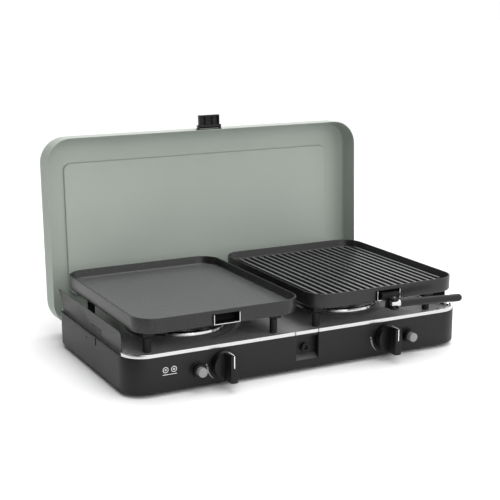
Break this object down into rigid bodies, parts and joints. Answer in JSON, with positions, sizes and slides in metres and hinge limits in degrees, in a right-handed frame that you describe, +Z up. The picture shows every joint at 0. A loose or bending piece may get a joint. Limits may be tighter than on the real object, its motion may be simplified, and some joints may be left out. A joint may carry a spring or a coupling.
{
  "type": "camping stove",
  "caption": "Portable two-burner gas hob in a flat case with fold-back lid, side wind guards, lift-off griddle and ribbed grill plates and a detachable handle.",
  "frame": {"origin": "middle of the whole object seen from above, on the surface under the rubber feet", "axes": "+X to the right seen from the front, +Y towards the lid at the back, +Z up"},
  "size_m": [0.626, 0.453, 0.3801],
  "materials": {
    "case_black": "fine black powder coat",
    "rubber": "matt black rubber",
    "steel": "brushed stainless steel",
    "bright_steel": "bright polished steel",
    "zinc_steel": "zinc-plated steel",
    "burner_alloy": "plain cast aluminium",
    "burner_enamel": "matt black enamel",
    "brass": "plain brass",
    "pipe_steel": "drawn steel pipe",
    "black_plastic": "matt black moulded plastic",
    "grip_black": "smooth black soft grip",
    "grey_plastic": "light grey moulded plastic",
    "ceramic": "white glazed ceramic",
    "lead_sleeve": "silicone wire sleeve",
    "lid_green": "fine sage grey-green powder coat",
    "guard_grey": "dark grey coat",
    "trivet_black": "black enamel",
    "plate_coating": "dark grey speckled non-stick coating"
  },
  "bodies": {
    "base": {"housing": "case_black", "rubber_feet": "rubber", "latch_keeper": "black_plastic", "hob_tray": "steel", "tray_posts": "zinc_steel", "tray_screws": "zinc_steel", "gas_rail": "pipe_steel", "gas_inlet": "brass", "injector_jets": "brass", "ignition_leads": "lead_sleeve", "hinge_brackets": "zinc_steel", "hinge_pins": "zinc_steel", "guard_brackets": "zinc_steel", "guard_pins": "zinc_steel", "burner_left": "burner_alloy", "burner_right": "burner_alloy", "burner_cap_left": "burner_enamel", "burner_cap_right": "burner_enamel", "drip_ring_left": "bright_steel", "drip_ring_right": "bright_steel", "venturi_left": "burner_alloy", "venturi_right": "burner_alloy", "valve_body_left": "brass", "valve_body_right": "brass", "button_bezel_left": "black_plastic", "button_bezel_right": "black_plastic", "igniter_left": "black_plastic", "igniter_right": "black_plastic", "electrode_left": "ceramic", "electrode_right": "ceramic"},
    "valve_plug_left_body": {"valve_plug_left": "brass"},
    "knob_left_body": {"knob_left": "black_plastic", "valve_stem_left": "zinc_steel"},
    "igniter_button_left_body": {"igniter_button_left": "grey_plastic"},
    "guard_left_body": {"guard_left": "guard_grey"},
    "trivet_left_body": {"trivet_left": "trivet_black", "trivet_boots_left": "rubber"},
    "valve_plug_right_body": {"valve_plug_right": "brass"},
    "knob_right_body": {"knob_right": "black_plastic", "valve_stem_right": "zinc_steel"},
    "igniter_button_right_body": {"igniter_button_right": "grey_plastic"},
    "guard_right_body": {"guard_right": "guard_grey"},
    "trivet_right_body": {"trivet_right": "trivet_black", "trivet_boots_right": "rubber"},
    "lid": {"lid_shell": "lid_green", "lid_arms": "zinc_steel", "latch_mount": "black_plastic"},
    "latch": {"latch_clip": "black_plastic", "latch_pin": "zinc_steel"},
    "griddle": {"griddle_plate": "plate_coating", "griddle_socket": "plate_coating"},
    "grill": {"grill_plate": "plate_coating", "grill_socket": "plate_coating"},
    "handle_holder": {"handle_tongue": "black_plastic", "handle_pin": "zinc_steel"},
    "handle_arm": {"handle_ferrule": "bright_steel", "handle_grip": "grip_black"}
  },
  "joints": [
    {"name": "knob_turn_left", "type": "hinge", "parent": "base", "child": "valve_plug_left_body", "pos_m": [-0.151, -0.17, 0.0378], "axis": [0, -1, 0], "range_deg": [0, 180]},
    {"name": "knob_push_left", "type": "slide", "parent": "valve_plug_left_body", "child": "knob_left_body", "axis": [0, 1, 0], "range_m": [0, 0.0025], "stiffness_N_per_m": 600, "springref_m": -0.003},
    {"name": "igniter_push_left", "type": "slide", "parent": "base", "child": "igniter_button_left_body", "axis": [0, 1, 0], "range_m": [0, 0.006], "stiffness_N_per_m": 400, "springref_m": -0.003},
    {"name": "guard_fold_left", "type": "hinge", "parent": "base", "child": "guard_left_body", "pos_m": [-0.303, 0, 0.0635], "axis": [0, 1, 0], "range_deg": [0, 90]},
    {"name": "trivet_lift_left", "type": "slide", "parent": "base", "child": "trivet_left_body", "axis": [0, 0, 1], "range_m": [0, 0.04]},
    {"name": "knob_turn_right", "type": "hinge", "parent": "base", "child": "valve_plug_right_body", "pos_m": [0.151, -0.17, 0.0378], "axis": [0, -1, 0], "range_deg": [0, 180]},
    {"name": "knob_push_right", "type": "slide", "parent": "valve_plug_right_body", "child": "knob_right_body", "axis": [0, 1, 0], "range_m": [0, 0.0025], "stiffness_N_per_m": 600, "springref_m": -0.003},
    {"name": "igniter_push_right", "type": "slide", "parent": "base", "child": "igniter_button_right_body", "axis": [0, 1, 0], "range_m": [0, 0.006], "stiffness_N_per_m": 400, "springref_m": -0.003},
    {"name": "guard_fold_right", "type": "hinge", "parent": "base", "child": "guard_right_body", "pos_m": [0.303, 0, 0.0635], "axis": [0, -1, 0], "range_deg": [0, 90]},
    {"name": "trivet_lift_right", "type": "slide", "parent": "base", "child": "trivet_right_body", "axis": [0, 0, 1], "range_m": [0, 0.04]},
    {"name": "lid_hinge", "type": "hinge", "parent": "base", "child": "lid", "pos_m": [0, 0.1499, 0.0394], "axis": [-1, 0, 0], "range_deg": [-36, 0]},
    {"name": "latch_hinge", "type": "hinge", "parent": "lid", "child": "latch", "pos_m": [0, 0.19132, 0.35955], "axis": [1, 0, 0], "range_deg": [-60, 90]},
    {"name": "griddle_lift", "type": "slide", "parent": "trivet_left_body", "child": "griddle", "axis": [0, 0, 1], "range_m": [0, 0.08]},
    {"name": "grill_lift", "type": "slide", "parent": "trivet_right_body", "child": "grill", "axis": [0, 0, 1], "range_m": [0, 0.08]},
    {"name": "handle_release", "type": "slide", "parent": "grill", "child": "handle_holder", "axis": [0, -1, 0], "range_m": [0, 0.04]},
    {"name": "handle_swing", "type": "hinge", "parent": "handle_holder", "child": "handle_arm", "pos_m": [0.149, -0.1955, 0.1015], "axis": [0, 0, -1], "range_deg": [0, 80]}
  ]
}
